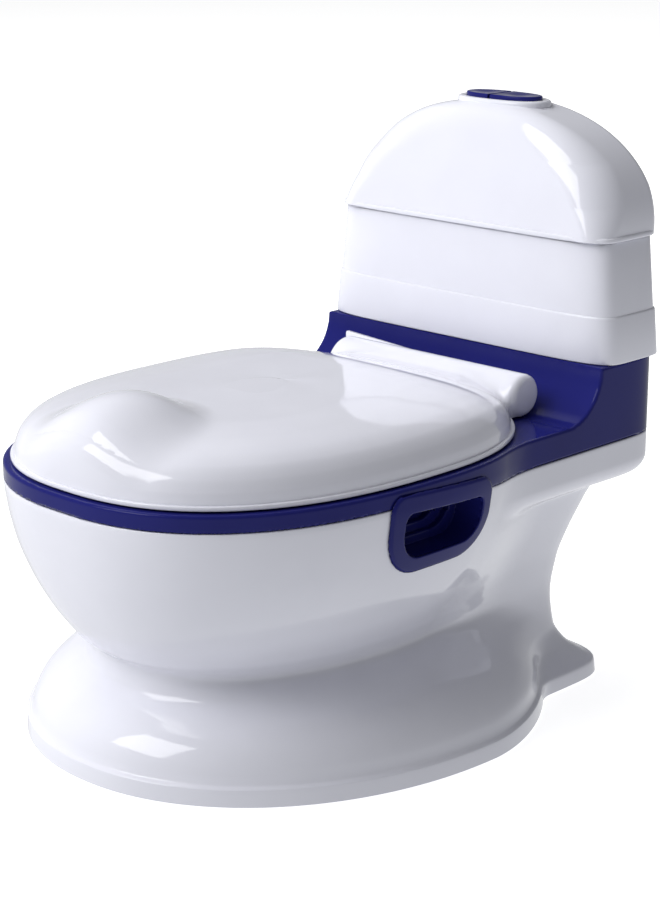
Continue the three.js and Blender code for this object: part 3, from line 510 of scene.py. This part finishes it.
def oval_ring(oval, z, count=128):
    half, front, back, widest, power = oval
    angle = np.linspace(0, 2 * math.pi, count, endpoint=False)
    bend = lambda v: np.sign(v) * np.abs(v) ** (2 / power)
    along = bend(np.sin(angle))
    y = widest + np.where(along > 0, back - widest, widest - front) * along
    return np.stack([half * bend(np.cos(angle)), y, np.full(count, float(z))], axis=1)


TANK_POWER = 6.2
LOFT_COUNT = 192


def slab_oval(half, front, back, power=TANK_POWER):
    return half, front, back, (front + back) / 2, power


def turned(x, y, profile, count=48):
    """A profile of (radius, height) turned round an upright axis; it starts and ends on the axis."""
    angle = np.linspace(0, 2 * math.pi, count, endpoint=False)
    rings = [np.stack([x + r * np.cos(angle), y + r * np.sin(angle), np.full(count, float(z))], axis=1)
             for r, z in profile]
    return loft(rings, cap_first=True, cap_last=True)


# ---- materials ---------------------------------------------------------------------------------------------------
def material(name, dark, light, roughness, grain_scale, grain_depth, patch_scale=18.0, **fixed):
    """A moulded surface: two close colours in soft patches, roughness that wanders, and a fine grain."""
    made = bpy.data.materials.new(name)
    made.use_nodes = True
    nodes, links = made.node_tree.nodes, made.node_tree.links
    shader = nodes["Principled BSDF"]
    for socket, value in fixed.items():
        shader.inputs[socket.replace("_", " ")].default_value = value
    place = nodes.new("ShaderNodeTexCoord").outputs["Object"]

    def noise(scale, detail):
        node = nodes.new("ShaderNodeTexNoise")
        node.inputs["Scale"].default_value = scale
        node.inputs["Detail"].default_value = detail
        links.new(place, node.inputs["Vector"])
        return node.outputs["Fac"]

    ramp = nodes.new("ShaderNodeValToRGB")
    ramp.color_ramp.elements[0].position, ramp.color_ramp.elements[1].position = 0.35, 0.65
    ramp.color_ramp.elements[0].color = (*dark, 1)
    ramp.color_ramp.elements[1].color = (*light, 1)
    links.new(noise(patch_scale, 3), ramp.inputs["Fac"])
    links.new(ramp.outputs["Color"], shader.inputs["Base Color"])
    spread = nodes.new("ShaderNodeMapRange")
    spread.inputs["To Min"].default_value, spread.inputs["To Max"].default_value = roughness
    links.new(noise(patch_scale * 2.3, 4), spread.inputs["Value"])
    links.new(spread.outputs["Result"], shader.inputs["Roughness"])
    bump = nodes.new("ShaderNodeBump")
    bump.inputs["Strength"].default_value = 0.25
    bump.inputs["Distance"].default_value = grain_depth
    links.new(noise(grain_scale, 2), bump.inputs["Height"])
    links.new(bump.outputs["Normal"], shader.inputs["Normal"])
    return made


WHITE = material("white_polypropylene", (0.80, 0.805, 0.885), (0.825, 0.83, 0.91), (0.05, 0.09), 160, 0.00002,
                 IOR=1.49, Coat_Weight=0.25, Coat_Roughness=0.06)
BLUE = material("navy_polypropylene", (0.0125, 0.0142, 0.140), (0.0150, 0.0170, 0.158), (0.07, 0.12), 160, 0.00002,
                IOR=1.46, Specular_IOR_Level=0.18)
POT = material("satin_polypropylene", (0.76, 0.76, 0.80), (0.79, 0.79, 0.83), (0.28, 0.38), 260, 0.00005, IOR=1.49)
RUBBER = material("grey_rubber", (0.050, 0.051, 0.055), (0.066, 0.067, 0.072), (0.72, 0.9), 900, 0.00012, IOR=1.5)
STEEL = material("zinc_steel", (0.50, 0.50, 0.52), (0.60, 0.60, 0.62), (0.24, 0.38), 1400, 0.00003, patch_scale=300,
                 Metallic=1.0)
BOARD = material("circuit_board", (0.012, 0.11, 0.035), (0.018, 0.16, 0.05), (0.35, 0.5), 700, 0.00008,
                 patch_scale=220)
DARK = material("black_moulding", (0.018, 0.018, 0.020), (0.026, 0.026, 0.029), (0.5, 0.66), 1300, 0.0001)
CELL = material("cell_jacket", (0.03, 0.034, 0.05), (0.05, 0.055, 0.075), (0.3, 0.42), 500, 0.00003,
                patch_scale=120)

# ---- the chair ---------------------------------------------------------------------------------------------------
net_piece("rim_and_deck", frame_field, (FRAME_LOW, FRAME_HIGH), 1.55, BLUE, "base", "rim_frame", "blue_plastic")
for side in ("left", "right"):
    node = f"grip_{side}"
    net_piece(f"{node}_moulding", grip_field, box_mm(node), 0.85, BLUE, "base", node, "blue_plastic")
net_piece("seat", seat_field, (SEAT_LOW, SEAT_HIGH), 1.6, WHITE, "base", "seat_ring", "white_plastic")
net_piece("guard", guard_field, (GUARD_LOW, GUARD_HIGH), 1.0, WHITE, "base", "splash_guard", "white_plastic")
net_piece("lid_shell", lid_field, (LID_LOW, LID_HIGH), 1.5, WHITE, "lid", "lid", "white_plastic")
net_piece("cover_shell", cover_field, (COVER_LOW, COVER_HIGH), 1.5, WHITE, "tank_cover", "tank_cover",
          "white_plastic")
for side, size in ((1, "large"), (-1, "small")):
    node = f"flush_button_{size}"
    net_piece(f"{node}_cap", button_field(side, node), box_mm(node), 0.6, BLUE, node, node, "blue_plastic")


CORE_Y = 20.0
CORE_REACH = 260.0
BODY_RAYS = 448
STRAIGHT_TOP = 147
CUTTER_RAYS = 72
CUTTER_REACH = 90.0
CUTTER_X = (92.0, 150.0)


def skin_ring(z, inset=0.0):
    """A ring of points on the chair's skin, found along rays from an upright line; z may vary round it."""
    angle = np.linspace(0, 2 * math.pi, BODY_RAYS, endpoint=False)
    across, along = np.cos(angle), np.sin(angle)
    near, far = np.zeros(BODY_RAYS), np.full(BODY_RAYS, CORE_REACH)
    for _ in range(BISECTIONS):
        middle = (near + far) / 2
        x, y = middle * across, CORE_Y + middle * along
        level = z(y) if callable(z) else np.full(BODY_RAYS, float(z))
        inside = skin(x, y, level) < -inset
        near, far = np.where(inside, middle, near), np.where(inside, far, middle)
    return np.stack([x, y, level], axis=1)


def body_levels():
    """Heights for the body's rings, closer together where the outline moves quickly."""
    base = BODY_LOW[2]
    fine = [base + 0.15, base + 0.5, base + 1.2, 5, 8, 9.6, 10.4, 10.8, 11.1, 11.4, 11.8, 12.2, 12.6, 13, 13.5,
            14.5, 16]
    return np.concatenate([fine, np.arange(18, 76, 1.5), np.arange(76, 118, 3), np.arange(118, 142, 0.8),
                           [144, STRAIGHT_TOP]])


def body_piece():
    def top(drop, share=1.0):
        return lambda y: STRAIGHT_TOP + share * (split_height(y) - GAP - STRAIGHT_TOP) - drop

    levels = body_levels()
    outer = [skin_ring(BODY_LOW[2], 0.6), *[skin_ring(z) for z in levels],
             *[skin_ring(top(0, share)) for share in (0.4, 0.75)], skin_ring(top(0.7)), skin_ring(top(0.2), 0.2),
             skin_ring(top(0), 0.7)]
    inner = [skin_ring(top(0), WALL), skin_ring(top(0, 0.5), WALL), *[skin_ring(z, WALL) for z in levels[::-2]],
             skin_ring(BODY_LOW[2], WALL)]
    shell = loft(outer + inner, closed=True)
    shell_piece = make_piece("body", *shell, WHITE, "base", "body_shell", "white_plastic")
    cutters = []
    for way in (1, -1):
        angle = np.linspace(0, 2 * math.pi, CUTTER_RAYS, endpoint=False)
        along, upward = np.cos(angle), np.sin(angle)
        middle_y, middle_z = (MOUTH["left"] + MOUTH["right"]) / 2, (MOUTH["bottom"] + MOUTH["top"]) / 2
        rings = []
        for x in CUTTER_X[::way]:
            near, far = np.zeros(CUTTER_RAYS), np.full(CUTTER_RAYS, CUTTER_REACH)
            for _ in range(BISECTIONS):
                r = (near + far) / 2
                inside = grip_outline(middle_y + r * along, middle_z + r * upward, MOUTH, MOUTH_ROOM) < 0
                near, far = np.where(inside, r, near), np.where(inside, far, r)
            rings.append(np.stack([np.full(CUTTER_RAYS, way * x), middle_y + r * along, middle_z + r * upward],
                                  axis=1))
        cutters.append(loft(rings, cap_first=True, cap_last=True))
    mesh = bpy.data.meshes.new("grip_cutter")
    points, faces = join_meshes(cutters)
    mesh.from_pydata((points * MM).tolist(), [], faces)
    cutter = bpy.data.objects.new("grip_cutter", mesh)
    bpy.context.scene.collection.objects.link(cutter)
    cut = shell_piece.modifiers.new("grip_holes", "BOOLEAN")
    cut.operation, cut.solver, cut.object = "DIFFERENCE", "EXACT", cutter
    bpy.context.view_layer.update()
    mesh = bpy.data.meshes.new_from_object(shell_piece.evaluated_get(bpy.context.evaluated_depsgraph_get()))
    shell_piece.modifiers.clear()
    shell_piece.data = mesh
    bpy.data.objects.remove(cutter)
    fittings = []
    for node in frame["nodes"]:
        low, high = box_mm(node)
        x, y = (low[:2] + high[:2]) / 2
        if node.startswith("foot_pad"):
            around = [(x + 9 * math.cos(a), y + 9 * math.sin(a)) for a in np.arange(0, 6.28, 0.4)]
            heights = np.arange(6, 24, 0.5)
            ring = np.array([[float(skin(px, py, np.array(h))) for px, py in around] for h in heights])
            top = max(heights[(ring < -1.5).all(axis=1)], default=7.0)
            profile = [(9, high[2] + GAP), (9, top - 0.5), (8.5, top)]
        elif node.startswith("frame_screw"):
            profile = [(4.6, low[2] + 3), (5, low[2] + 3.4), (5, high[2] + 1.5), (4.6, high[2] + 2)]
        else:
            continue
        fittings.append(turned(x, y, profile, 32))
    make_piece("body_bosses", *join_meshes(fittings), WHITE, "base", None, "white_plastic")


def lid_flange_piece():
    """The narrow flange along the lid's lower edge, from one end of the hinge barrel round to the other."""
    inset = [(0.5, 0), (0.15, 0.15), (0, 0.5), (0, 2.0), (0.15, 2.4), (0.5, 2.6), (2.6, 2.75), (2.9, 2.6),
             (2.9, 0.3), (2.6, 0)]
    rings = [oval_ring(shrunk(LID_OVAL, by), LID_BOTTOM + up, 720) for by, up in inset]
    sections = np.stack(rings, axis=1)
    order = np.argsort((np.arctan2(sections[:, 0, 0], -sections[:, 0, 1] + RIM_WIDEST)))
    sections = sections[order]
    sections = sections[sections[:, 0, 1] < HINGE_Y - 6]
    points, faces = loft(list(sections), cap_first=True, cap_last=True)
    make_piece("lid_flange", points, [face[::-1] for face in faces], WHITE, "lid", None, "white_plastic")


def pot_piece():
    lip = POT_HIGH[2]
    inset = [[POT_LOW[2], 56], [POT_LOW[2] + 7, 44], [84, 33], [110, 20], [142, 9], [167, 5], [lip, 4]]
    heights = np.concatenate([POT_LOW[2] + np.array([0, 0.6, 1.6, 3.2]),
                              np.linspace(POT_LOW[2] + 6, lip - 3, 26)])
    ring = lambda z, extra: oval_ring(shrunk(POT_HOLE, smooth_table(inset, np.array([z]))[0][0] + extra), z)
    outer = [ring(z, 0) for z in heights]
    edge = [oval_ring(shrunk(POT_HOLE, by), z) for by, z in
            ((4, lip - 2.4), (-5, lip - 2.4), (-6, lip - 1.8), (-6, lip - 0.8), (-5.2, lip - 0.2), (-4.4, lip),
             (4.6, lip), (5.6, lip - 0.5), (6.2, lip - 1.6))]
    inner = [ring(z, 2.2) for z in heights[::-1] if z > POT_LOW[2] + 2.2]
    points, faces = loft(outer + edge + inner, cap_first=True, cap_last=True)
    make_piece("pot", points, faces, POT, "base", "potty_pot", "pot_plastic")


def tank_piece():
    def level(z, inset, proud=0.0):
        share = (z - TANK_FOOT) / (RIDGE - TANK_FOOT)
        half = TANK_FOOT_HALF - TANK_NARROWING * share - inset + proud
        front, back = TANK_FRONT + share + inset - proud, TANK_BACK - inset + proud
        return oval_ring(slab_oval(half, front, back), z, LOFT_COUNT)

    low, high, band = TANK_LOW[2], TANK_HIGH[2], BAND_TOP
    rows = [(low, 0.9, 0.4), (low + 0.3, 0.3, 0.4), (low + 1, 0, 0.4), (band - 1.2, 0, 0.4),
            (band - 0.5, 0.15, 0.4), (band - 0.1, 0.5, 0.4), (band, 0, -0.5), (band + 0.4, 0, -0.5),
            (high - 0.8, 0, -0.5), (high - 0.2, 0.3, -0.5), (high, 0.7, -0.5), (high, WALL - 0.5, -0.5),
            (high - 0.5, WALL, -0.5), (low + WALL + 2, WALL, 0), (low + WALL + 0.5, WALL + 0.5, 0),
            (low + WALL, WALL + 2, 0)]
    shell = loft([level(*row) for row in rows], cap_first=True, cap_last=True)
    boss = [(4.5, low + 2), (4.5, low + 11.2), (3.9, low + 12), (1.9, low + 12), (1.9, low + 3)]
    bosses = [turned(x, y, boss, 32) for x in (-80, 80) for y in (152, 184)]
    points, faces = join_meshes([shell, *bosses])
    make_piece("tank", points, faces, WHITE, "base", "tank_body", "white_plastic")


def cover_bead_piece():
    """The slightly proud band along the cover's lower edge."""
    outline = lambda out, z: oval_ring(
        slab_oval(COVER_HALF + out, COVER_FRONT - out, min(BACK, COVER_BACK + out)), z, LOFT_COUNT)
    rows = [(-WALL, 0), (0.9, 0), (1.3, 0.3), (1.4, 0.8), (1.4, 2.2), (1.1, 2.8), (0.5, 3.2), (-1, 3.4), (-WALL, 3.4)]
    points, faces = loft([outline(out, RIDGE + up) for out, up in rows], closed=True)
    make_piece("cover_bead", points, faces, WHITE, "tank_cover", None, "white_plastic")


def bezel_piece():
    low, high = BEZEL_LOW[2], BEZEL_HIGH[2]
    rows = [(2.5, low), (0, low + 1.5), (0, high - 1.6), (0.25, high - 0.9), (0.8, high - 0.35), (1.6, high),
            (4.4, high), (4.9, high - 0.2), (5.2, high - 0.7), (5.2, low)]
    points, faces = loft([oval_ring(shrunk(BEZEL_OVAL, inset), z, 96) for inset, z in rows], closed=True)
    make_piece("bezel", points, faces, WHITE, "tank_cover", "flush_bezel", "white_plastic")


def rail_piece():
    """The pale strip behind the hinge; its top falls away towards the sitter's left."""
    low, high = box_mm("hinge_rail")
    stations = np.array([[low[0], 0.8], [low[0] + 0.3, 0.3], [low[0] + 0.8, 0], [high[0] - 0.8, 0],
                         [high[0] - 0.3, 0.3], [high[0], 0.8]])
    rings = []
    for x, inset in stations:
        top = high[2] + 0.6 - 9.5 * np.clip((x - low[0]) / (high[0] - low[0]), 0, 1) - inset
        front, back, bottom = low[1] + inset, high[1] - inset, low[2] - 5
        rings.append([[x, front, bottom], [x, back, bottom], [x, back, top - 0.8], [x, back - 0.3, top - 0.2],
                      [x, back - 0.9, top], [x, front + 0.9, top], [x, front + 0.3, top - 0.2], [x, front, top - 0.8]])
    points, faces = loft([np.array(r, float) for r in rings], cap_first=True, cap_last=True)
    make_piece("hinge_strip", points, faces, WHITE, "base", "hinge_rail", "white_plastic")


def rubber_piece(node, body):
    low, high = box_mm(node)
    x, y = (low[:2] + high[:2]) / 2
    r, base, top = (high[0] - low[0]) / 2, low[2], high[2]
    soft = min(0.8, (top - base) / 5)
    profile = [(r * 0.35, base), (r * 0.38, base + soft / 2), (r * 0.5, base + soft / 2), (r * 0.53, base),
               (r - soft, base), (r - soft * 0.3, base + soft * 0.3), (r, base + soft), (r, top - soft),
               (r - soft * 0.3, top - soft * 0.3), (r - soft, top)]
    points, faces = turned(x, y, profile)
    make_piece(f"{node}_rubber", points, faces, RUBBER, body, node, "rubber")


def spring_piece(node):
    low, high = box_mm(node)
    x, y = (low[:2] + high[:2]) / 2
    wire, turns, count = 0.5, 4, 192
    radius = (high[1] - low[1]) / 2 - wire
    curve = bpy.data.curves.new(f"{node}_wire", "CURVE")
    curve.dimensions = "3D"
    curve.bevel_depth, curve.bevel_resolution, curve.use_fill_caps = wire * MM, 4, True
    line = curve.splines.new("POLY")
    line.points.add(count)
    for i, point in enumerate(line.points):
        share = i / count
        angle = share * turns * 2 * math.pi
        z = low[2] + wire + (high[2] - low[2] - 2 * wire) * share
        point.co = ((x + radius * math.cos(angle)) * MM, (y + radius * math.sin(angle)) * MM, z * MM, 1)
    curve.materials.append(STEEL)
    piece = bpy.data.objects.new(f"{node}_wire", curve)
    bpy.context.scene.collection.objects.link(piece)
    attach(piece, "tank_cover")
    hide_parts(node)


body_piece()
lid_flange_piece()
pot_piece()
tank_piece()
cover_bead_piece()
bezel_piece()
rail_piece()
for node in frame["nodes"]:
    if node.startswith(("foot_pad", "seat_bumper")):
        rubber_piece(node, "base")
    elif node.startswith("lid_bumper"):
        rubber_piece(node, "lid")
    elif node.startswith("button_spring"):
        spring_piece(node)

# The small CAD nodes that stay are given soft edges and their own materials.
STAYING = {"hinge_pin": STEEL, "frame_screw": STEEL, "tank_screw": STEEL, "housing_screw": STEEL,
           "sound_housing": DARK, "battery_door": DARK, "speaker": DARK, "switch": DARK, "circuit_board": BOARD,
           "battery_1": CELL, "battery_2": CELL}
for name, thing in frame["nodes"].items():
    if thing.hide_render:
        continue
    finish = next(value for key, value in STAYING.items() if name.startswith(key))
    thing.data.materials.clear()
    thing.data.materials.append(finish)
    soft = thing.modifiers.new("soft_edges", "BEVEL")
    soft.width = 0.25 * MM
    soft.segments = 3
    soft.limit_method = "ANGLE"
    soft.angle_limit = math.radians(40)
    soft.harden_normals = False
    thing.data.polygons.foreach_set("use_smooth", [True] * len(thing.data.polygons))

# ---- floor, lights and camera -------------------------------------------------------------------------------------
FLOOR_HALF = 12.0
GLOW_BELOW = 0.96
GLOW_ABOVE = 0.20
FLOOR_SHADE = 0.82
FLOOR_GLOW = 0.74
LAMP_DISTANCE = 3.2
LAMP_AIM = (0, 0, 0.17)
CAMERA_AZIMUTH, CAMERA_ELEVATION, CAMERA_DISTANCE = 44.2516, 16.0764, 1.3629
CAMERA_TARGET = (0, 0.01485, 0.15505)
CAMERA_LENS, CAMERA_SENSOR = 87.878, 36


def floor():
    mesh = bpy.data.meshes.new("floor")
    corners = [(-FLOOR_HALF, -FLOOR_HALF, 0), (FLOOR_HALF, -FLOOR_HALF, 0), (FLOOR_HALF, FLOOR_HALF, 0),
               (-FLOOR_HALF, FLOOR_HALF, 0)]
    mesh.from_pydata(corners, [], [(0, 1, 2, 3)])
    made = bpy.data.materials.new("pale_floor")
    made.use_nodes = True
    shader = made.node_tree.nodes["Principled BSDF"]
    shader.inputs["Base Color"].default_value = (FLOOR_SHADE, FLOOR_SHADE, FLOOR_SHADE, 1)
    shader.inputs["Roughness"].default_value = 0.9
    shader.inputs["Emission Color"].default_value = (1, 1, 1, 1)
    shader.inputs["Emission Strength"].default_value = FLOOR_GLOW
    mesh.materials.append(made)
    ground = bpy.data.objects.new("floor", mesh)
    bpy.context.scene.collection.objects.link(ground)
    ground.visible_glossy = False
    ground.visible_diffuse = False


def softbox(name, direction, spread, glow, shines=True):
    """A square light seen from the chair under an angle of spread; glow is what it adds to a facing surface."""
    light = bpy.data.lights.new(name, "AREA")
    light.shape = "SQUARE"
    light.size = 2 * LAMP_DISTANCE * math.tan(math.radians(spread) / 2)
    light.energy = glow * math.pi ** 2 * LAMP_DISTANCE ** 2
    lamp = bpy.data.objects.new(name, light)
    bpy.context.scene.collection.objects.link(lamp)
    towards = Vector(direction).normalized()
    lamp.location = Vector(LAMP_AIM) + towards * LAMP_DISTANCE
    lamp.rotation_euler = towards.to_track_quat("Z", "Y").to_euler()
    lamp.visible_glossy = shines


def camera():
    azimuth, elevation = math.radians(CAMERA_AZIMUTH), math.radians(CAMERA_ELEVATION)
    back = Vector((math.sin(azimuth) * math.cos(elevation), -math.cos(azimuth) * math.cos(elevation),
                   math.sin(elevation)))
    data = bpy.data.cameras.new("camera")
    data.sensor_width = CAMERA_SENSOR
    data.lens = CAMERA_LENS
    data.clip_start, data.clip_end = 0.05, 50
    view = bpy.data.objects.new("camera", data)
    view.location = Vector(CAMERA_TARGET) + back * CAMERA_DISTANCE
    view.rotation_euler = back.to_track_quat("Z", "Y").to_euler()
    bpy.context.scene.collection.objects.link(view)
    bpy.context.scene.camera = view


def world():
    """An even studio, much brighter from below than from above, as over a white table."""
    made = bpy.data.worlds.new("studio")
    made.use_nodes = True
    nodes, links = made.node_tree.nodes, made.node_tree.links
    sky = nodes["Background"]
    sky.inputs["Color"].default_value = (0.97, 0.98, 1.0, 1)
    upward = nodes.new("ShaderNodeSeparateXYZ")
    links.new(nodes.new("ShaderNodeTexCoord").outputs["Generated"], upward.inputs["Vector"])
    glow = nodes.new("ShaderNodeMapRange")
    glow.inputs["From Min"].default_value, glow.inputs["From Max"].default_value = -0.5, 0.25
    glow.inputs["To Min"].default_value, glow.inputs["To Max"].default_value = GLOW_BELOW, GLOW_ABOVE
    links.new(upward.outputs["Z"], glow.inputs["Value"])
    links.new(glow.outputs["Result"], sky.inputs["Strength"])
    bpy.context.scene.world = made


floor()
softbox("key", (-0.24, -0.70, 0.66), 30, 0.36)
softbox("above", (-0.55, 0.10, 0.83), 50, 0.34, shines=False)
softbox("upper_left", (-0.60, -0.42, 0.68), 60, 0.80, shines=False)
softbox("left_fill", (-0.85, -0.50, 0.02), 60, 0.28, shines=False)
camera()
world()
bpy.context.scene.view_settings.view_transform = "Standard"
